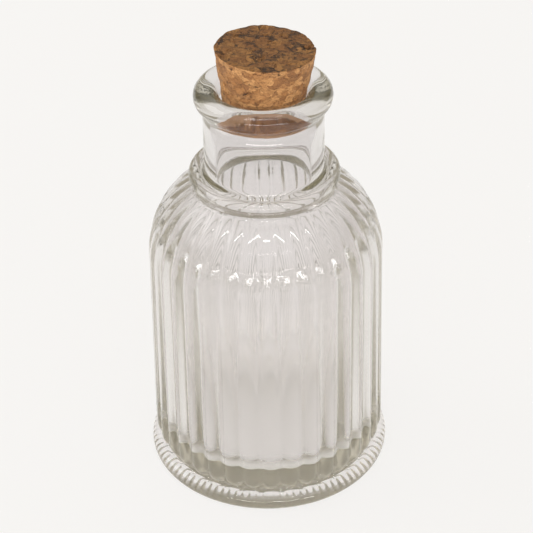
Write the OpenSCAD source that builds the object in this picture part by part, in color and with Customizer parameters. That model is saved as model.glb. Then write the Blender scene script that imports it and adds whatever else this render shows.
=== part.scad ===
// A small round bottle of clear pressed glass, with a tapered stopper of granulated cork.
// The body and its shoulder are covered by upright convex flutes. They tuck in at the heel
// above a rounded foot flange, and run up the shoulder to a bead round the foot of the neck.
// Z runs up the axis, the bottle stands on z = 0, and the photographed front faces -Y.

/* [Foot] */
// Radius over the rounded foot flange
flange_r = 35; // [34.8:0.1:38]
// Height of the foot flange, which is also the width of its half-round edge
flange_h = 5; // [4:0.1:6]
// Rise of the shallow hollow under the base
push_up_h = 2.4; // [1:0.1:4]
// Radius where the hollow under the base meets the bearing ring
push_up_r = 24.4; // [20:0.1:25]
// Number of radial grooves across the bearing ring
knurl_count = 96; // [72:4:104]
// Radius of the round bottom of each bearing groove
knurl_r = 0.6; // [0.5:0.05:0.7]
// Depth of each bearing groove
knurl_depth = 0.3; // [0.2:0.05:0.4]
// Radius where the bearing grooves begin
knurl_start_r = 27.4; // [27:0.1:29]
// Distance from the outer ends of the bearing grooves to the edge of the bearing ring
knurl_inset = 0.3; // [0.2:0.1:0.8]

/* [Body] */
// Radius over the flute crests at the top of the wall
body_r = 32.8; // [30:0.1:33]
// How much wider the wall is at the heel than at the top
wall_flare = 0.8; // [0:0.1:1.2]
// Height where the wall begins to tuck in above the foot
heel_z = 10.8; // [9:0.1:14]
// Distance that the heel tucks in, down to where it enters the foot
heel_tuck = 3.5; // [2:0.1:4]
// Glass thickness under a flute crest
wall = 3.8; // [3:0.1:5]
// Inner radius between the floor and the wall
floor_fillet_r = 8; // [5:0.5:10]
// Height of the inner floor
floor_z = 9.4; // [8:0.1:12]

/* [Flutes] */
// Number of flutes round the body
flute_count = 36; // [32:1:40]
// Radius of each flute's round section
flute_r = 3.3; // [3.1:0.05:3.5]
// Turn of the flute pattern about the axis, in degrees
flute_turn = 0.6; // [0:0.1:10]

/* [Shoulder] */
// Height where the shoulder begins to turn in
shoulder_z = 68.5; // [50:0.5:80]
// Radius of the shoulder's turn, over the flute crests
shoulder_r = 24.6; // [24:0.1:26]
// Outer radius of the bead at the top of the shoulder
bead_r = 20.8; // [20.5:0.1:22]
// Radius of the bead's round section
bead_section_r = 1.75; // [1.5:0.05:1.9]
// Height of the bead's centre above the start of the shoulder
bead_rise = 24.7; // [24:0.1:25.5]
// Depth of the shallow ledge inside the bead, below the bead's top
ledge_depth = 1; // [0.6:0.1:1.4]

/* [Neck and lip] */
// Outer radius of the neck
neck_r = 16.4; // [16:0.1:16.8]
// Radius of the hollow curve between the ledge and the neck
neck_cove_r = 2.2; // [1:0.1:2.4]
// Glass thickness of the neck
neck_wall = 3.2; // [2.6:0.1:3.4]
// Radius of the glass where the neck's bore opens into the shoulder
bore_flare_r = 5.5; // [4:0.1:6]
// How far the bore's flare runs into the hollow, so that the two meet at a clear edge
flare_bite = 0.3; // [0.2:0.05:0.5]
// Height of the finished rim above the bead's centre
neck_height = 27; // [24:0.5:40]
// Outer radius of the rounded lip
lip_r = 18.7; // [18.5:0.1:19]
// Radius of the lip's round outer section
lip_section_r = 3.1; // [2.9:0.1:3.3]
// Radius of the hollow curve between the neck and the lip
lip_cove_r = 2.5; // [1.5:0.1:3]
// Radius of the narrowest part of the mouth, where the stopper seats
throat_r = 11.35; // [11:0.05:11.8]

/* [Stopper] */
// Radius of the stopper's top
cork_top_r = 13.4; // [13:0.1:14.5]
// Length of the stopper
cork_len = 20.5; // [18:0.5:24]
// Taper of the stopper's side, in degrees from its axis
cork_taper = 8.2; // [7:0.1:9]
// Bevel of the stopper's edges
cork_bevel = 0.4; // [0.2:0.1:0.6]
// Sideways lean of the stopper in the mouth, in degrees
cork_lean = 3; // [0:0.5:3.5]
// Gap between the stopper and the throat all round
cork_gap = 0.2; // [0.15:0.01:0.3]

/* [Hidden] */
glass_color = [0.84, 0.85, 0.82, 0.45];
cork_color = [0.72, 0.53, 0.35];
$fn = 96;
// Run-out of a cut past its surface
past = 1;

// Centre of the shoulder's turn, which the hollow shares, and the hollow's own radii
shoulder_c = [body_r - shoulder_r, shoulder_z];
shoulder_in_r = shoulder_r - wall;
cavity_r = body_r - wall;
// The heel's tuck as an arc that starts upright and ends just inside the foot
heel_r = body_r + wall_flare;
bury = 1;
heel_drop = heel_z - flange_h + bury;
heel_turn_r = (pow(heel_drop, 2) + pow(heel_tuck, 2)) / (2 * heel_tuck);
heel_turn = asin(heel_drop / heel_turn_r);
heel_c = [heel_r - heel_turn_r, heel_z];
heel_steps = 3;
// The shoulder's arc runs in under the neck
shoulder_turn = 72;
shoulder_steps = 8;
// Rings of points that carry the flutes, as radius and height over the crests, with the lean of
// the skin there
ring_path = concat(
    [for (k = [heel_steps : -1 : 0]) heel_c + polar(heel_turn_r, -k * heel_turn / heel_steps)],
    [for (k = [0 : shoulder_steps]) shoulder_c + polar(shoulder_r, k * shoulder_turn / shoulder_steps)]
);
ring_lean = concat(
    [for (k = [0 : heel_steps]) 0],
    [for (k = [0 : shoulder_steps]) k * shoulder_turn / shoulder_steps]
);
// Chords on each side of a flute's crest
flute_steps = 2;
flute_points = 2 * flute_steps;
ring_points = flute_count * flute_points;
ring_step = 360 / ring_points;
ring_total = len(ring_path);
knurl_end_r = flange_r - flange_h / 2 - knurl_inset;
push_up_sphere_r = (pow(push_up_r, 2) + pow(push_up_h, 2)) / (2 * push_up_h);
// Heights of the bead, the ledge and the rim, and the curves of the neck between them
bead_z = shoulder_z + bead_rise;
ledge_z = bead_z + bead_section_r - ledge_depth;
rim_z = bead_z + neck_height;
bore_r = neck_r - neck_wall;
flare_c_r = bore_r + bore_flare_r;
flare_reach = shoulder_in_r + bore_flare_r - flare_bite;
flare_c = [flare_c_r, shoulder_z + sqrt(pow(flare_reach, 2) - pow(flare_c_r - shoulder_c[0], 2))];
flare_foot = shoulder_c + (flare_c - shoulder_c) * (shoulder_in_r - flare_bite / 2) / flare_reach;
lip_c = [lip_r - lip_section_r, rim_z - lip_section_r];
cove_c_r = neck_r + lip_cove_r;
cove_reach = lip_section_r + lip_cove_r;
cove_c = [cove_c_r, lip_c[1] - sqrt(pow(cove_reach, 2) - pow(cove_c_r - lip_c[0], 2))];
cove_top = lip_c + (cove_c - lip_c) * lip_section_r / cove_reach;
// Throat: a bead of glass that rolls in from the rim to the narrowest radius
throat_roll_r = lip_c[0] - throat_r;
throat_z = rim_z - throat_roll_r;
// Stopper: its cone passes the throat with the gap all round
cork_bottom_r = cork_top_r - cork_len * tan(cork_taper);
cork_sunk = (throat_r - cork_gap - cork_bottom_r) / tan(cork_taper);

// Point at radius r and angle a
function polar(r, a) = [r * cos(a), r * sin(a)];

// A ring of round section about the axis, its section centred on c
module ring(c, r) {
    rotate_extrude()
        translate(c)
            circle(r = r);
}

// A flat disc or plug about the axis, from height z0 to z1
module plug(r, z0, z1) {
    translate([0, 0, z0])
        cylinder(h = z1 - z0, r = r);
}

// Copies round the axis
module around(count) {
    for (i = [0 : count - 1])
        rotate([0, 0, flute_turn + i * 360 / count])
            children();
}

// Depth of a flute's surface below its crest radius r, at angle a from the crest
function flute_depth(r, a) =
    let (c = r - flute_r)
    r - c * cos(a) - sqrt(pow(flute_r, 2) - pow(c * sin(a), 2));

// One point of a ring: its place along the ring says how far it lies from a crest
function skin_point(ring, i) =
    let (
        off_crest = (i % flute_points - flute_steps) * ring_step,
        depth = flute_depth(ring_path[ring][0], off_crest),
        r = ring_path[ring][0] - depth * cos(ring_lean[ring]),
        a = flute_turn + (i - flute_steps) * ring_step
    )
    [r * cos(a), r * sin(a), ring_path[ring][1] - depth * sin(ring_lean[ring])];

// The two triangles between neighbouring points of two neighbouring rings
function skin_faces(ring, i) =
    let (
        low = ring * ring_points,
        high = low + ring_points,
        next = (i + 1) % ring_points
    )
    [[low + i, high + i, high + next], [low + i, high + next, low + next]];

// The body inside its fluted skin, solid from the foot to under the neck
module fluted_body() {
    polyhedron(
        points = [for (ring = [0 : ring_total - 1], i = [0 : ring_points - 1]) skin_point(ring, i)],
        faces = concat(
            [[for (i = [0 : ring_points - 1]) i]],
            [[for (i = [ring_points - 1 : -1 : 0]) (ring_total - 1) * ring_points + i]],
            [for (ring = [0 : ring_total - 2], i = [0 : ring_points - 1]) each skin_faces(ring, i)]
        )
    );
}

// The rounded top of the hollow under the shoulder
module domed_top() {
    rotate_extrude()
        intersection() {
            translate(shoulder_c)
                circle(r = shoulder_in_r);
            translate([0, shoulder_z])
                square(body_r);
        }
}

// Foot flange with a half-round edge
module foot() {
    plug(flange_r - flange_h / 2, 0, flange_h);
    ring([flange_r - flange_h / 2, flange_h / 2], flange_h / 2);
}

// Bead, ledge, neck and rounded lip
module neck() {
    plug(bead_r - bead_section_r, shoulder_z, ledge_z);
    ring([bead_r - bead_section_r, bead_z], bead_section_r);
    plug(neck_r, shoulder_z, lip_c[1]);
    difference() {
        plug(neck_r + neck_cove_r, ledge_z - neck_cove_r, ledge_z + neck_cove_r);
        ring([neck_r + neck_cove_r, ledge_z + neck_cove_r], neck_cove_r);
    }
    difference() {
        plug(cove_c[0], cove_c[1], cove_top[1]);
        ring(cove_c, lip_cove_r);
    }
    ring(lip_c, lip_section_r);
    plug(lip_c[0], cove_top[1], rim_z);
}

// The hollow of the body, with a rounded floor edge and a domed shoulder
module hollow() {
    plug(cavity_r - floor_fillet_r, floor_z, shoulder_z);
    ring([cavity_r - floor_fillet_r, floor_z + floor_fillet_r], floor_fillet_r);
    plug(cavity_r, floor_z + floor_fillet_r, shoulder_z);
    domed_top();
}

// The bore of the neck, flared at its foot and rolled over the throat to the rim
module bore() {
    difference() {
        union() {
            plug(bore_r, shoulder_z, rim_z + past);
            plug(flare_c[0], flare_foot[1], flare_c[1]);
            plug(lip_c[0], throat_z, rim_z + past);
        }
        ring(flare_c, bore_flare_r);
        ring([lip_c[0], throat_z], throat_roll_r);
    }
}

// One groove of the bearing ring, lying along the radius
module knurl_groove() {
    translate([knurl_start_r, 0, knurl_depth - knurl_r])
        rotate([0, 90, 0])
            cylinder(h = knurl_end_r - knurl_start_r, r = knurl_r, $fn = 24);
}

module bottle() {
    color(glass_color)
    difference() {
        union() {
            foot();
            fluted_body();
            neck();
        }
        hollow();
        bore();
        translate([0, 0, push_up_h - push_up_sphere_r])
            sphere(r = push_up_sphere_r, $fn = 180);
        around(knurl_count)
            knurl_groove();
    }
}

module cork_stopper() {
    color(cork_color)
    translate([0, 0, throat_z])
        rotate([0, cork_lean, 0])
            translate([0, 0, -cork_sunk])
                rotate_extrude()
                    polygon([
                        [0, 0], [cork_bottom_r - cork_bevel, 0],
                        [cork_bottom_r + cork_bevel * tan(cork_taper), cork_bevel],
                        [cork_top_r - cork_bevel * tan(cork_taper), cork_len - cork_bevel],
                        [cork_top_r - cork_bevel, cork_len], [0, cork_len]
                    ]);
}

bottle();
cork_stopper();
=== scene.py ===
import math

import bpy
from mathutils import Matrix, Vector


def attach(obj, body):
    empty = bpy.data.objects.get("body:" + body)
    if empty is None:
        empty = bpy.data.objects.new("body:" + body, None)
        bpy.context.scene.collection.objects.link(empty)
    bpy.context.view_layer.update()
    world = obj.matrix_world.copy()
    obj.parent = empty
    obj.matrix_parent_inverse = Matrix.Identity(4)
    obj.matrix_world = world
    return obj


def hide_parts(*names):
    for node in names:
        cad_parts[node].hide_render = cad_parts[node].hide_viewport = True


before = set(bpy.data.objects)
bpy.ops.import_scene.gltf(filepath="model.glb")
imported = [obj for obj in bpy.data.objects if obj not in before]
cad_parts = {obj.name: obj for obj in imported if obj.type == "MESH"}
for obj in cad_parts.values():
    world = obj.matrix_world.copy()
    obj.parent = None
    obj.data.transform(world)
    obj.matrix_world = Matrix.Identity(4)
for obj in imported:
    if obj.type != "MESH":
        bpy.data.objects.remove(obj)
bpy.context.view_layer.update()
mm = 0.001


# A socket in a node tree that can be added, scaled and so on
class Term:
    def __init__(self, net, socket):
        self.net = net
        self.socket = socket

    def out(self, name):
        return Term(self.net, self.socket.node.outputs[name])

    def __add__(self, other):
        return self.net.math("ADD", self, other)

    def __radd__(self, other):
        return self.net.math("ADD", other, self)

    def __sub__(self, other):
        return self.net.math("SUBTRACT", self, other)

    def __rsub__(self, other):
        return self.net.math("SUBTRACT", other, self)

    def __mul__(self, other):
        return self.net.math("MULTIPLY", self, other)

    def __rmul__(self, other):
        return self.net.math("MULTIPLY", other, self)

    def __truediv__(self, other):
        return self.net.math("DIVIDE", self, other)

    def __rtruediv__(self, other):
        return self.net.math("DIVIDE", other, self)


# A node tree: one method makes any node, the others are short forms for sums and mixes
class Net:
    def __init__(self, tree):
        self.tree = tree
        tree.nodes.clear()

    def feed(self, socket, value):
        if isinstance(value, Term):
            self.tree.links.new(value.socket, socket)
        else:
            socket.default_value = value

    def node(self, kind, inputs=None, out=0, **settings):
        made = self.tree.nodes.new(kind)
        for name, value in settings.items():
            setattr(made, name, value)
        for name, value in (inputs or {}).items():
            self.feed(made.inputs[name], value)
        return Term(self, made.outputs[out]) if len(made.outputs) else None

    def math(self, operation, *values):
        return self.node("ShaderNodeMath", dict(enumerate(values)), operation=operation)

    def vector(self, operation, *values):
        slots = (0, 3) if operation == "SCALE" else (0, 1)
        out = 1 if operation == "LENGTH" else 0
        return self.node("ShaderNodeVectorMath", dict(zip(slots, values)), out,
                         operation=operation)

    def mix(self, factor, first, second, blend="MIX"):
        return self.node("ShaderNodeMix", {0: factor, 6: first, 7: second}, 2,
                         data_type="RGBA", blend_type=blend)

    def smooth(self, value, low, high, toLow=0.0, toHigh=1.0):
        return self.node("ShaderNodeMapRange", {0: value, 1: low, 2: high, 3: toLow, 4: toHigh},
                         interpolation_type="SMOOTHSTEP")

    def noise(self, vector, scale, detail, rough=0.5, distort=0.0, out=0):
        return self.node("ShaderNodeTexNoise", {
            "Vector": vector, "Scale": scale, "Detail": detail,
            "Roughness": rough, "Distortion": distort}, out)

    def edges(self, vector, scale):
        return self.node("ShaderNodeTexVoronoi", {"Vector": vector, "Scale": scale},
                         feature="DISTANCE_TO_EDGE")


# Points on an arc from one angle to another, in degrees, ends included
def arc(centre, radius, start, end, steps):
    turns = [math.radians(start + (end - start) * k / steps) for k in range(steps + 1)]
    return [(centre[0] + radius * math.cos(t), centre[1] + radius * math.sin(t)) for t in turns]


# Points on a straight line, the last one left out
def line(start, end, steps):
    across, up = end[0] - start[0], end[1] - start[1]
    return [(start[0] + across * k / steps, start[1] + up * k / steps) for k in range(steps)]


# The arc that replaces one corner of a path, no longer than 0.9 of either side
def rounded(before, corner, after, radius, steps):
    b, c, a = Vector(before), Vector(corner), Vector(after)
    u, v = (b - c).normalized(), (a - c).normalized()
    half = u.angle(v) / 2
    reach = min(radius / math.tan(half), 0.9 * (b - c).length, 0.9 * (a - c).length)
    radius = reach * math.tan(half)
    centre = c + (u + v).normalized() * (radius / math.sin(half))
    p, q = c + u * reach - centre, c + v * reach - centre
    turn = math.atan2(p.x * q.y - p.y * q.x, p.dot(q))
    points = []
    for k in range(steps + 1):
        t = turn * k / steps
        points.append((centre.x + p.x * math.cos(t) - p.y * math.sin(t),
                       centre.y + p.x * math.sin(t) + p.y * math.cos(t)))
    return points


# Mesh made by turning a path of (radius, height) about Z; ends on the axis become single points
def lathe(name, path, columns, turn=0.0):
    verts, faces, rings = [], [], []
    for r, z in path:
        if r < 1e-6:
            rings.append([len(verts)])
            verts.append((0, 0, z * mm))
            continue
        rings.append(list(range(len(verts), len(verts) + columns)))
        for i in range(columns):
            a = math.radians(turn + 360 * i / columns)
            verts.append((r * mm * math.cos(a), r * mm * math.sin(a), z * mm))
    for low, high in zip(rings, rings[1:]):
        for i in range(columns):
            n = (i + 1) % columns
            if len(low) == 1:
                faces.append((low[0], high[n], high[i]))
            elif len(high) == 1:
                faces.append((low[i], low[n], high[0]))
            else:
                faces.append((low[i], low[n], high[n], high[i]))
    mesh = bpy.data.meshes.new(name)
    mesh.from_pydata(verts, [], faces)
    mesh.update()
    mesh.shade_smooth()
    obj = bpy.data.objects.new(name, mesh)
    bpy.context.scene.collection.objects.link(obj)
    return obj, rings


# Writes one number per ring of a turned mesh onto its points
def markRings(obj, rings, name, values):
    layer = obj.data.attributes.new(name, "FLOAT", "POINT")
    flat = [0.0] * len(obj.data.vertices)
    for ring, value in zip(rings, values):
        for i in ring:
            flat[i] = value
    layer.data.foreach_set("value", flat)


# Outward direction of a turned path at each of its points, as (radial, upward)
def pathNormals(path):
    result = []
    for k in range(len(path)):
        before, after = path[max(k - 1, 0)], path[min(k + 1, len(path) - 1)]
        step = Vector((after[0] - before[0], after[1] - before[1]))
        step = step.normalized() if step.length > 0 else Vector((1, 0))
        result.append((step.y, -step.x))
    return result


# Runs a Geometry Nodes tree on obj with named inputs, and keeps the result as a plain mesh
def applyTree(obj, tree, values):
    modifier = obj.modifiers.new(tree.name, "NODES")
    modifier.node_group = tree
    for item in tree.interface.items_tree:
        if item.item_type == "SOCKET" and item.in_out == "INPUT" and item.name in values:
            modifier[item.identifier] = values[item.name]
    obj.update_tag()
    graph = bpy.context.evaluated_depsgraph_get()
    made = bpy.data.meshes.new_from_object(obj.evaluated_get(graph), preserve_all_data_layers=True,
                                           depsgraph=graph)
    obj.modifiers.remove(modifier)
    old = obj.data
    obj.data = made
    made.name = old.name
    bpy.data.meshes.remove(old)


# A Geometry Nodes tree with its geometry sockets and named number inputs in place
def newTree(name, numbers):
    tree = bpy.data.node_groups.new(name, "GeometryNodeTree")
    tree.interface.new_socket("Geometry", in_out="INPUT", socket_type="NodeSocketGeometry")
    for key, value in numbers.items():
        kind = "NodeSocketInt" if isinstance(value, int) else "NodeSocketFloat"
        item = tree.interface.new_socket(key, in_out="INPUT", socket_type=kind)
        item.default_value = value
    tree.interface.new_socket("Geometry", in_out="OUTPUT", socket_type="NodeSocketGeometry")
    net = Net(tree)
    return tree, net, net.node("NodeGroupInput")


# Ends a tree: instances made real, the material set, and the result handed out
def endTree(net, geometry, material):
    real = net.node("GeometryNodeRealizeInstances", {0: geometry})
    dressed = net.node("GeometryNodeSetMaterial", {"Geometry": real, "Material": material})
    net.node("NodeGroupOutput", {0: dressed})


# Lengths and heights in metres, as the shader sees them
glassLook = {
    "tint": (0.968, 0.950, 0.960, 1),
    # painted shade: the glass colour is darker over the shoulder, neck and lip
    "upperPaintedShade": (0.874, 0.858, 0.868, 1),  # shoulder, neck and lip
    "upperFrom": 0.060,
    "upperFull": 0.085,
    "ior": 1.5,
    "depthTint": (0.50, 0.46, 0.27, 1),
    "depthDensity": 19.0,
    "smudge": 0.05,
    "smudgeScale": 90.0,
    "innerRough": 0.16,
    "neckFrom": 0.084,  # the inner skin is smooth from here up
    "neckFull": 0.091,
    "floorRough": 0.22,
    "floorFull": 0.012,
    "floorEnd": 0.022,
    "baseRough": 0.2,
    "rippleScale": 260.0,
    "rippleStretch": (1.0, 1.0, 0.35),
    "rippleStrength": 0.05,
    "rippleDepth": 0.0002,
    "sparkleHeight": 0.0768,  # middle of the crumpled band round the shoulder
    "sparkleReach": 0.0055,
    "sparkleWander": 0.006,
    "sparkleScale": 1000.0,
    "sparkleDepth": 0.00008,
}


def glassMaterial(look):
    material = bpy.data.materials.new("Clear pressed glass")
    material.use_nodes = True
    net = Net(material.node_tree)
    place = net.node("ShaderNodeTexCoord").out("Object")
    film = net.noise(place, look["smudgeScale"], 3.0, 0.6)
    stretched = net.vector("MULTIPLY", place, look["rippleStretch"])
    ripple = net.noise(stretched, look["rippleScale"], 1.0, 0.4)
    height = net.node("ShaderNodeSeparateXYZ", {0: place}).out("Z")
    # Painted shade: the glass colour turns darker from the shoulder up
    upper = net.smooth(height, look["upperFrom"], look["upperFull"])
    tint = net.mix(upper, look["tint"], look["upperPaintedShade"])
    inside = net.node("ShaderNodeAttribute", out=2, attribute_name="innerShare")
    inside = inside * net.smooth(height, look["neckFrom"], look["neckFull"], 1.0, 0.0)
    wander = (net.noise(place, 70.0, 1.0) - 0.5) * look["sparkleWander"]
    offBand = net.math("ABSOLUTE", height + wander - look["sparkleHeight"])
    band = net.smooth(offBand, 0.0, look["sparkleReach"], 1.0, 0.0)
    rough = net.smooth(film, 0.45, 0.75, 0.0, look["smudge"])
    # The inner skin is dull, most of all at the floor, but for the band, which stays bright
    rough = rough + inside * (1.0 - band) * look["innerRough"]
    nearFloor = net.smooth(height, look["floorFull"], look["floorEnd"], look["floorRough"], 0.0)
    rough = rough + inside * nearFloor
    under = net.node("ShaderNodeAttribute", out=2, attribute_name="baseShare")
    rough = rough + under * look["baseRough"]
    bump = net.node("ShaderNodeBump", {
        "Strength": look["rippleStrength"], "Distance": look["rippleDepth"], "Height": ripple})
    crumple = net.noise(place, look["sparkleScale"], 2.0, 0.55) * band
    bump = net.node("ShaderNodeBump", {
        "Strength": 1.0, "Distance": look["sparkleDepth"], "Height": crumple, "Normal": bump})
    skin = net.node("ShaderNodeBsdfPrincipled", {
        "Base Color": tint, "Roughness": rough, "IOR": look["ior"],
        "Transmission Weight": 1.0, "Normal": bump})
    depth = net.node("ShaderNodeVolumeAbsorption", {
        "Color": look["depthTint"], "Density": look["depthDensity"]})
    net.node("ShaderNodeOutputMaterial", {"Surface": skin, "Volume": depth})
    return material


glass = glassMaterial(glassLook)
print("glass material made")

# In millimetres; points are (radius, height)
bottleSizes = {
    "flangeRadius": 34.98,
    "flangeHeight": 5.0,
    "flangeTop": 31.9,
    "pushUpRadius": 24.4,
    "pushUpHeight": 2.4,
    "pushUpRings": (0, 4, 8, 12, 16, 20, 22, 23.4),
    "bearingRing": ((24.1, 0.06), (24.9, 0.0), (27.2, 0.0)),
    "grooveRings": (27.6, 29.0, 30.6, 32.0),
    "heelFootRadius": 31.05,
    "heelFootRound": 0.35,
    "heelHeight": 10.8,
    "heelRadius": 33.6,
    "heelCurve": 7.0,
    "heelTuck": 1.27,
    "heelDrop": 4.0,
    "shoulderHeight": 68.5,
    "shoulderCrestRadius": 32.8,
    "shoulderTurn": 24.6,
    "beadRadius": 20.8,
    "beadSection": 1.75,
    "beadHeight": 93.2,
    "beadFoot": ((19.78, 90.55), (19.78, 90.95), (19.8, 91.3)),
    "ledgeHeight": 93.95,
    "neckRadius": 16.4,
    "neckCove": 2.2,
    "neckLow": 97.0,
    "neckHigh": 112.0,
    "boreRadius": 13.2,
    "boreFlare": 5.5,
    "boreLow": 93.6,
    "boreHigh": 105.5,
    "boreTop": 107.6,
    "lipRadius": 18.7,
    "lipSection": 3.1,
    "rimHeight": 120.2,
    "coveRadius": 2.5,
    "throatRadius": 11.35,
    "throatRoll": 4.25,
    "throatEase": ((11.9, 112.6), (12.5, 111.2), (12.95, 109.6)),
    "wall": 3.8,
    "floorHeight": 9.4,
    "floorRise": 1.4,
    "floorFillet": 8.0,
    "floorRings": 7,
    "fluteTurn": 0.6,  # degrees
    "columnsPerFlute": 12,
    "rimFadeRings": 6,
}


# Path up the outside of the bottle; each point says how strongly flutes and grooves show on it
def outerPath(s):
    path, flutes, grooves = [], [], []
    full = (1.0, 1.0)

    # flute is its strength at the first and the last of the points
    def add(points, flute=(0.0, 0.0), groove=0.0):
        count = max(len(points) - 1, 1)
        for k, point in enumerate(points):
            t = k / count
            path.append(point)
            flutes.append(flute[0] + (flute[1] - flute[0]) * t)
            grooves.append(groove)

    # The base: push-up, bearing ring, grooves
    sphere = (s["pushUpRadius"] ** 2 + s["pushUpHeight"] ** 2) / (2 * s["pushUpHeight"])
    for r in s["pushUpRings"]:
        add([(r, s["pushUpHeight"] - sphere + math.sqrt(sphere ** 2 - r ** 2))])
    add(s["bearingRing"])
    add([(r, 0.0) for r in s["grooveRings"]], groove=1.0)
    underRings = len(path)

    # Flange and heel
    edge = s["flangeHeight"] / 2
    add(arc((s["flangeRadius"] - edge, edge), edge, -90, 90, 18))
    heelFoot = (s["heelFootRadius"], s["flangeHeight"])
    bend = (s["heelRadius"] - s["heelTuck"], s["heelHeight"] - s["heelDrop"])
    add(rounded((s["flangeTop"], s["flangeHeight"]), heelFoot, bend, s["heelFootRound"], 4),
        flute=(0.98, 1.0))
    add([((heelFoot[0] + bend[0]) / 2, (heelFoot[1] + bend[1]) / 2)], flute=full)
    curve = s["heelCurve"]
    add(arc((s["heelRadius"] - curve, s["heelHeight"]), curve, -35, 0, 6), flute=full)

    # Body and shoulder, whose flutes fade towards the bead
    lower = (s["heelRadius"], s["heelHeight"])
    upper = (s["shoulderCrestRadius"], s["shoulderHeight"])
    add(line(lower, upper, 9)[1:], flute=full)
    shoulderCentre = (s["shoulderCrestRadius"] - s["shoulderTurn"], s["shoulderHeight"])
    add(arc(shoulderCentre, s["shoulderTurn"], 0, 40, 15), flute=full)
    add(arc(shoulderCentre, s["shoulderTurn"], 42, 62, 9), flute=(0.98, 0.2))

    # Bead, neck and lip
    add(s["beadFoot"], flute=(0.1, 0.0))
    beadCentre = (s["beadRadius"] - s["beadSection"], s["beadHeight"])
    add(arc(beadCentre, s["beadSection"], -58, 138, 17))
    cove = s["neckCove"]
    add(arc((s["neckRadius"] + cove, s["ledgeHeight"] + cove), cove, -116, -180, 9))
    add(line((s["neckRadius"], s["neckLow"]), (s["neckRadius"], s["neckHigh"]), 5))
    lipCentre = (s["lipRadius"] - s["lipSection"], s["rimHeight"] - s["lipSection"])
    coveR = s["neckRadius"] + s["coveRadius"]
    joined = s["lipSection"] + s["coveRadius"]
    coveZ = lipCentre[1] - math.sqrt(joined ** 2 - (coveR - lipCentre[0]) ** 2)
    turn = math.degrees(math.atan2(lipCentre[1] - coveZ, lipCentre[0] - coveR))
    add(arc((coveR, coveZ), s["coveRadius"], 180, turn, 5))
    add(arc(lipCentre, s["lipSection"], turn - 180 + 6, 90, 16))
    return path, flutes, grooves, underRings


# Path down the inside of the bottle, from the rim to the middle of the floor
def innerPath(s):
    rollCentre = (s["lipRadius"] - s["lipSection"], s["rimHeight"] - s["throatRoll"])
    path = arc(rollCentre, s["throatRoll"], 98, 205, 15)
    path += [*s["throatEase"], (s["boreRadius"], s["boreTop"])]
    path += line((s["boreRadius"], s["boreHigh"]), (s["boreRadius"], s["boreLow"]), 5)
    domeIn = s["shoulderTurn"] - s["wall"]
    centre = (s["shoulderCrestRadius"] - s["shoulderTurn"], s["shoulderHeight"])
    flareR = s["boreRadius"] + s["boreFlare"]
    reach = domeIn + s["boreFlare"]
    flareZ = centre[1] + math.sqrt(reach ** 2 - (flareR - centre[0]) ** 2)
    turn = math.degrees(math.atan2(flareZ - centre[1], flareR - centre[0]))
    path += arc((flareR, flareZ), s["boreFlare"], 180, 180 + turn, 8)
    path += arc(centre, domeIn, turn - 3, 34, 7)
    path += arc(centre, domeIn, 32, 4, 20)  # close rings, where the swell is
    wallIn = s["shoulderCrestRadius"] - s["wall"]
    filletZ = s["floorHeight"] + s["floorFillet"]
    path += line((wallIn, s["shoulderHeight"] - 5), (wallIn, filletZ + 1), 9)
    path += arc((wallIn - s["floorFillet"], filletZ), s["floorFillet"], 0, -84, 11)
    edge = path[-1]
    for k in range(1, s["floorRings"] + 1):
        t = k / s["floorRings"]
        path.append((edge[0] * (1 - t), edge[1] + s["floorRise"] * (1 - (1 - t) ** 2)))
    return path


outer, fluteShare, grooveShare, underRings = outerPath(bottleSizes)
inner = innerPath(bottleSizes)
bottlePath = outer + inner
padding = [0.0] * len(inner)
innerShare = [min(1.0, k / bottleSizes["rimFadeRings"]) for k in range(len(inner))]
innerShare = [0.0] * len(outer) + innerShare
baseShare = [1.0 if k < underRings else 0.0 for k in range(len(bottlePath))]

fluteRule = {
    "Flute Count": 36,
    "Flute Radius": 3.3 * mm,
    "Flute Turn": math.radians(bottleSizes["fluteTurn"]),
    "Valley Start": 0.92,
    "Valley Softness": 0.22,
    "Groove Count": 96,
    "Groove Depth": 0.3 * mm,
    "Groove Foot": -0.75,
    "Groove Top": 0.85,
    "Ripple": 0.16 * mm,
    "Ripple Scale": 85.0,
    "Ripple Stretch": 0.45,
    "Swell": 0.85 * mm,
    "Swell Foot": 72.8 * mm,
    "Swell Top": 78.8 * mm,
    "Swell Wander": 5.0 * mm,
    "Swell Fade": 80.5 * mm,
    "Swell End": 87.0 * mm,
    "Seed": 4.0,
}


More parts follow.
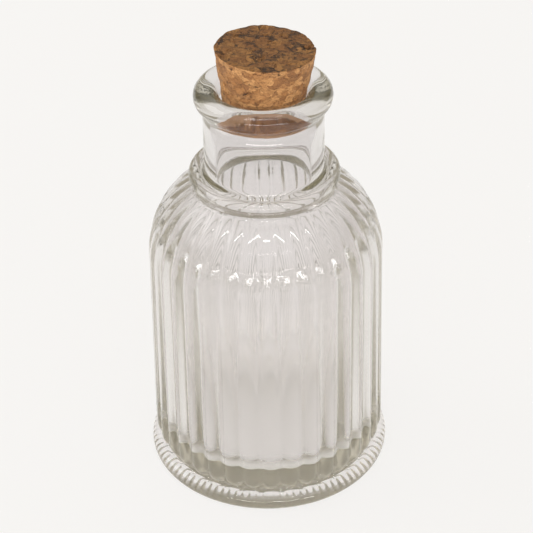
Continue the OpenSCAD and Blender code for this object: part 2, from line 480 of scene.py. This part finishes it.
# Flutes, bearing grooves, and the ripples and swell of the inside: all are moves in along the skin
def fluteTree(rule, material):
    tree, net, start = newTree("Fluted glass", rule)
    place = net.node("GeometryNodeInputPosition")
    axes = net.node("ShaderNodeSeparateXYZ", {0: place})
    x, y, z = axes, axes.out("Y"), axes.out("Z")
    flat = net.node("ShaderNodeCombineXYZ", {"X": x, "Y": y})
    radius = net.vector("LENGTH", flat)
    angle = net.math("ARCTAN2", y, x) - start.out("Flute Turn")

    def named(name):
        return net.node("GeometryNodeInputNamedAttribute", {"Name": name}, data_type="FLOAT")

    # A flute is a round rod sunk in the wall, and the valleys between rods are softened
    fluteR = start.out("Flute Radius")
    halfPitch = math.pi / start.out("Flute Count")
    offCrest = net.math("PINGPONG", angle, halfPitch)
    offCrest = net.math("SMOOTH_MIN", offCrest, halfPitch * start.out("Valley Start"),
                        halfPitch * start.out("Valley Softness"))
    aside = (radius - fluteR) * net.math("SINE", offCrest)
    rise = net.math("SQRT", net.math("MAXIMUM", fluteR * fluteR - aside * aside, 0.0))
    flute = radius - (radius - fluteR) * net.math("COSINE", offCrest) - rise

    acrossGroove = net.math("COSINE", angle * start.out("Groove Count"))
    groove = net.smooth(acrossGroove, start.out("Groove Foot"), start.out("Groove Top"))
    groove = groove * start.out("Groove Depth")

    seeded = net.node("ShaderNodeCombineXYZ", {
        "X": x, "Y": y, "Z": z * start.out("Ripple Stretch") + start.out("Seed")})
    waves = net.noise(seeded, start.out("Ripple Scale"), 2.0, 0.5) - 0.5
    high = z + waves * start.out("Swell Wander")
    swell = net.smooth(high, start.out("Swell Foot"), start.out("Swell Top"))
    swell = swell * net.smooth(z, start.out("Swell Fade"), start.out("Swell End"), 1.0, 0.0)

    inward = flute * named("fluteShare") + groove * named("grooveShare")
    inward = inward + waves * 2.0 * start.out("Ripple") * named("innerShare")
    inward = inward + swell * start.out("Swell") * named("innerShare")
    radial = net.vector("SCALE", net.vector("NORMALIZE", flat), named("acrossSkin"))
    skin = net.vector("ADD", radial, net.node("ShaderNodeCombineXYZ", {"Z": named("upSkin")}))
    moved = net.node("GeometryNodeSetPosition", {
        "Geometry": start, "Offset": net.vector("SCALE", skin, inward * -1.0)})
    endTree(net, moved, material)
    return tree


columns = fluteRule["Flute Count"] * bottleSizes["columnsPerFlute"]
bottle, bottleRings = lathe("fluted_bottle", bottlePath, columns, bottleSizes["fluteTurn"])
normals = pathNormals(bottlePath)
markRings(bottle, bottleRings, "fluteShare", fluteShare + padding)
markRings(bottle, bottleRings, "grooveShare", grooveShare + padding)
markRings(bottle, bottleRings, "innerShare", innerShare)
markRings(bottle, bottleRings, "baseShare", baseShare)
markRings(bottle, bottleRings, "acrossSkin", [n[0] for n in normals])
markRings(bottle, bottleRings, "upSkin", [n[1] for n in normals])
bottle.data.materials.append(glass)
applyTree(bottle, fluteTree(fluteRule, glass), fluteRule)
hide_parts("bottle")
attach(bottle, "bottle")
print("bottle made:", len(bottleRings), "rings,", len(bottle.data.polygons), "faces")

# Lengths and heights in metres, as the shader sees them
corkLook = {
    "light": (0.61, 0.31, 0.116, 1),
    "middle": (0.405, 0.181, 0.058, 1),
    "dark": (0.205, 0.085, 0.032, 1),
    "crack": (0.045, 0.02, 0.01, 1),
    "grain": 410.0,
    "grainSquash": (1.0, 1.0, 1.5),
    "bendScale": 420.0,
    "bendReach": 0.0022,
    "fibreScale": 820.0,
    "fibreStretch": (0.55, 1.3, 2.4),
    "fibreShare": 0.6,
    "fleckScale": 1400.0,
    "fleckStretch": (0.8, 0.8, 1.6),
    "fleckShare": 0.7,
    "patchScale": 300.0,
    "seamShare": 0.8,
    "pitScale": 520.0,
    "pitStretch": (0.8, 1.3, 1.3),
    "pitShare": 0.85,
    "blocks": 270.0,
    "splitShare": 0.75,
    # painted shade: the upward face of the cork is darker than its side
    "topPaintedShade": (0.46, 0.41, 0.25, 1),
    # painted shade: the part of the cork inside the throat is darker and warmer
    "sunkPaintedShade": (0.94, 0.76, 0.48, 1),  # the part inside the throat
    "sunkFrom": 0.1165,
    "edgeTone": (0.80, 0.48, 0.27, 1),  # the pale foot
    "edgeHeight": 0.1138,
    "edgeShare": 0.8,
    "lean": 0.0524,  # the slope of its lean, so that the two heights lie square to the cork
    "bumpStrength": 0.8,
    "bumpDepth": 0.0005,
    "smoothest": 0.62,
    "roughest": 0.85,
}


def corkMaterial(look):
    material = bpy.data.materials.new("Agglomerated cork")
    material.use_nodes = True
    net = Net(material.node_tree)
    place = net.node("ShaderNodeTexCoord").out("Object")
    bend = net.vector("SUBTRACT", net.noise(place, look["bendScale"], 2.0, out=1), (0.5, 0.5, 0.5))
    bent = net.vector("ADD", place, net.vector("SCALE", bend, look["bendReach"]))
    facing = net.node("ShaderNodeSeparateXYZ", {0: net.node("ShaderNodeNewGeometry").out("Normal")})
    top = net.smooth(facing.out("Z"), 0.5, 0.8)
    patches = net.noise(place, look["patchScale"], 3.0, 0.6)

    # Granules, each with its own tone and its own run of fibres
    squashed = net.vector("MULTIPLY", bent, look["grainSquash"])
    cells = net.node("ShaderNodeTexVoronoi", {"Vector": squashed, "Scale": look["grain"]}, out=1)
    pick = net.node("ShaderNodeSeparateColor", {0: cells})
    streak = net.vector("MULTIPLY", net.vector("ADD", bent, net.vector("SCALE", cells, 0.05)),
                        look["fibreStretch"])
    fibre = net.noise(streak, look["fibreScale"], 5.0, 0.7)
    fleck = net.noise(net.vector("MULTIPLY", bent, look["fleckStretch"]), look["fleckScale"],
                      3.0, 0.65, 0.8)
    tone = net.mix(net.smooth(pick, 0.1, 0.95), look["middle"], look["light"])
    tone = net.mix(net.smooth(pick.out("Green"), 0.68, 0.95) * 0.5, tone, look["dark"])
    tone = net.mix(net.smooth(fibre, 0.42, 0.70) * look["fibreShare"], tone, look["dark"])
    tone = net.mix(net.smooth(fleck, 0.52, 0.68) * look["fleckShare"], tone, look["dark"])

    # Dark seams between granules, torn pits, and splits across the top
    seam = net.smooth(net.edges(squashed, look["grain"]), 0.0, 0.06, 1.0, 0.0)
    seam = seam * net.smooth(patches, 0.48, 0.66) * (0.45 + top * 0.45)
    holes = net.noise(net.vector("MULTIPLY", bent, look["pitStretch"]), look["pitScale"],
                      4.0, 0.6, 0.5)
    pits = net.smooth(holes + top * 0.02, 0.64, 0.71)
    split = net.smooth(net.edges(bent, look["blocks"]), 0.03, 0.12, 1.0, 0.0)
    split = split * net.smooth(patches, 0.45, 0.58) * top
    tone = net.mix(seam * look["seamShare"], tone, look["crack"])
    tone = net.mix(pits * look["pitShare"], tone, look["crack"])
    tone = net.mix(split * look["splitShare"], tone, look["crack"])

    # Tints by place: painted shade on the top and on the part in the throat, and the pale foot
    tone = net.mix(top, tone, net.mix(1.0, tone, look["topPaintedShade"], "MULTIPLY"))
    axes = net.node("ShaderNodeSeparateXYZ", {0: place})
    upCork = axes.out("Z") + axes * look["lean"] + (fibre - 0.5) * 0.001
    # Painted shade: the cork inside the throat is made darker and warmer
    sunk = net.smooth(upCork, look["sunkFrom"] - 0.001, look["sunkFrom"], 1.0, 0.0)
    tone = net.mix(sunk, tone, net.mix(1.0, tone, look["sunkPaintedShade"], "MULTIPLY"))
    foot = net.smooth(upCork, look["edgeHeight"] - 0.0003, look["edgeHeight"], 1.0, 0.0)
    tone = net.mix(foot * look["edgeShare"], tone, look["edgeTone"])

    height = fibre * 0.35 - seam - pits * 1.2 - split * 1.2 - net.smooth(fleck, 0.5, 0.7) * 0.4
    bump = net.node("ShaderNodeBump", {
        "Strength": look["bumpStrength"], "Distance": look["bumpDepth"], "Height": height})
    rough = net.smooth(fibre, 0.2, 0.8, look["smoothest"], look["roughest"])
    body = net.node("ShaderNodeBsdfPrincipled", {
        "Base Color": tone, "Roughness": rough, "Normal": bump})
    net.node("ShaderNodeOutputMaterial", {"Surface": body})
    return material


cork = corkMaterial(corkLook)
print("cork material made")

# In millimetres and degrees
stopperSizes = {
    "topRadius": 13.6,
    "length": 19.7,
    "taper": 9.4,
    "bevel": 0.4,
    "lean": 3.0,
    "gap": 0.2,
    "footRings": (0, 1.5, 3, 4.5, 6, 7.5, 9),
    "sideRings": 46,
    "topEdge": 12.6,
    "topStep": 0.45,
    "topRings": 28,
    "columns": 300,
}


# Path from the middle of the foot up the side to the middle of the top, and the foot's radius
def stopperPath(s):
    slope = math.tan(math.radians(s["taper"]))
    low = s["topRadius"] - s["length"] * slope
    b = s["bevel"]
    path = [(r, 0.0) for r in s["footRings"]]
    path += [(low - b, 0.0), (low - b * 0.3, b * 0.3)]
    sideTop = (s["topRadius"] - b * slope, s["length"] - b)
    path += line((low + b * slope, b), sideTop, s["sideRings"]) + [sideTop]
    path += [(s["topRadius"] - b * 0.35, s["length"] - b * 0.3), (s["topRadius"] - b, s["length"])]
    path += [(s["topEdge"] - s["topStep"] * k, s["length"]) for k in range(s["topRings"])]
    path += [(0, s["length"])]
    return path, low


corkRule = {
    "Pit Scale": 330.0,
    "Pit Depth": 0.75 * mm,
    "Grain Depth": 0.3 * mm,
    "Seed": 7.0,
}


# Torn pits and raised granules, all moved in from the turned shape
def corkTree(rule, material):
    tree, net, start = newTree("Cork surface", rule)
    place = net.node("GeometryNodeInputPosition")
    shifted = net.vector("ADD", place, net.node("ShaderNodeCombineXYZ", {"X": start.out("Seed")}))
    pit = net.smooth(net.noise(shifted, start.out("Pit Scale"), 3.0, 0.55, 0.4), 0.60, 0.72)
    cells = net.node("ShaderNodeTexVoronoi", {"Vector": shifted, "Scale": start.out("Pit Scale")})
    grain = net.smooth(cells, 0.2, 0.8)
    inward = pit * start.out("Pit Depth") + grain * start.out("Grain Depth")
    outward = net.node("GeometryNodeInputNormal")
    moved = net.node("GeometryNodeSetPosition", {
        "Geometry": start, "Offset": net.vector("SCALE", outward, inward * -1.0)})
    endTree(net, moved, material)
    return tree


stopperOutline, footRadius = stopperPath(stopperSizes)
stopper = lathe("tapered_cork", stopperOutline, stopperSizes["columns"])[0]
stopper.data.materials.append(cork)
applyTree(stopper, corkTree(corkRule, cork), corkRule)

# The cork sinks until its side is the gap away from the throat, and leans about that height
throatHeight = bottleSizes["rimHeight"] - bottleSizes["throatRoll"]
seat = bottleSizes["throatRadius"] - stopperSizes["gap"] - footRadius
sunk = seat / math.tan(math.radians(stopperSizes["taper"]))
lean = math.radians(stopperSizes["lean"])
for v in stopper.data.vertices:
    x, y, z = v.co.x, v.co.y, v.co.z - sunk * mm
    v.co = (x * math.cos(lean) + z * math.sin(lean), y,
            throatHeight * mm - x * math.sin(lean) + z * math.cos(lean))
stopper.data.update()
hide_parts("cork_stopper")
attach(stopper, "stopper")
print("stopper made:", len(stopper.data.polygons), "faces")

# In metres; a lamp is its name, place, width, height and power
studio = {
    "floor": (0.06, 0.059, 0.057, 1),
    "floorSize": 6.0,
    "floorHeight": -0.00005,
    "floorRough": 0.9,
    "floorGlow": (1.0, 0.985, 0.965, 1),
    "floorGlowStrength": 0.83,
    "horizon": (0.40, 0.365, 0.285, 1),
    "zenith": (1.0, 0.985, 0.965, 1),
    "skyFrom": 0.22,
    "skyTo": 0.6,
    "skyStrength": 1.0,
    "lampAim": (0, 0, 0.06),
    "lamps": (
        ("Front strip", (0.0, -0.75, 1.42), 1.3, 0.06, 5.0),
        ("Low strip", (0.0, -1.55, 0.335), 2.4, 0.12, 13.2),
        ("Side window", (-1.1, 0.2, 0.9), 0.8, 0.8, 4.0),
    ),
}

bpy.ops.mesh.primitive_plane_add(size=studio["floorSize"])
floor = bpy.context.object
floor.name = "pale_floor"
floor.location.z = studio["floorHeight"]
floorMaterial = bpy.data.materials.new("Pale floor")
floorMaterial.use_nodes = True
floorSkin = floorMaterial.node_tree.nodes["Principled BSDF"]
floorSkin.inputs["Base Color"].default_value = studio["floor"]
floorSkin.inputs["Roughness"].default_value = studio["floorRough"]
floorSkin.inputs["Emission Color"].default_value = studio["floorGlow"]
floorSkin.inputs["Emission Strength"].default_value = studio["floorGlowStrength"]
floor.data.materials.append(floorMaterial)

world = bpy.data.worlds.new("Studio")
bpy.context.scene.world = world
world.use_nodes = True
worldNet = Net(world.node_tree)
direction = worldNet.node("ShaderNodeTexCoord")
skyward = worldNet.node("ShaderNodeSeparateXYZ", {0: direction}).out("Z")
skyShare = worldNet.smooth(skyward, studio["skyFrom"], studio["skyTo"])
sky = worldNet.node("ShaderNodeBackground", {
    "Color": worldNet.mix(skyShare, studio["horizon"], studio["zenith"]),
    "Strength": studio["skyStrength"]})
worldNet.node("ShaderNodeOutputWorld", {"Surface": sky})

for name, place, width, height, power in studio["lamps"]:
    data = bpy.data.lights.new(name, "AREA")
    data.shape = "RECTANGLE"
    data.size = width
    data.size_y = height
    data.energy = power
    lamp = bpy.data.objects.new(name, data)
    bpy.context.scene.collection.objects.link(lamp)
    lamp.location = place
    lamp.rotation_mode = "QUATERNION"
    aim = Vector(studio["lampAim"]) - Vector(place)
    lamp.rotation_quaternion = aim.to_track_quat("-Z", "Y")

# Places, sensor and lens in millimetres, roll in degrees, clips in metres
cameraView = {
    "place": (0.0, -410.9, 344.05),
    "target": (0.07, 0.0, 61.46),
    "roll": -1.04,
    "lens": 118.9,
    "sensor": 36.0,
    "nearClip": 0.01,
    "farClip": 20.0,
}

cameraData = bpy.data.cameras.new("Camera")
cameraData.lens = cameraView["lens"]
cameraData.sensor_width = cameraView["sensor"]
cameraData.clip_start = cameraView["nearClip"]
cameraData.clip_end = cameraView["farClip"]
camera = bpy.data.objects.new("Camera", cameraData)
bpy.context.scene.collection.objects.link(camera)
eye = Vector(cameraView["place"]) * mm
ahead = (Vector(cameraView["target"]) * mm - eye).normalized()
right = ahead.cross(Vector((0, 0, 1))).normalized()
upward = right.cross(ahead)
roll = math.radians(cameraView["roll"])
across = right * math.cos(roll) + upward * math.sin(roll)
above = upward * math.cos(roll) - right * math.sin(roll)
camera.matrix_world = Matrix((
    (across.x, above.x, -ahead.x, eye.x),
    (across.y, above.y, -ahead.y, eye.y),
    (across.z, above.z, -ahead.z, eye.z),
    (0, 0, 0, 1),
))
bpy.context.scene.camera = camera
bpy.context.scene.view_settings.view_transform = "Standard"
bpy.context.scene.cycles.max_bounces = 32  # glass behind glass behind glass
bpy.context.scene.cycles.transmission_bounces = 32
bpy.context.scene.cycles.glossy_bounces = 12
print("studio and camera made")
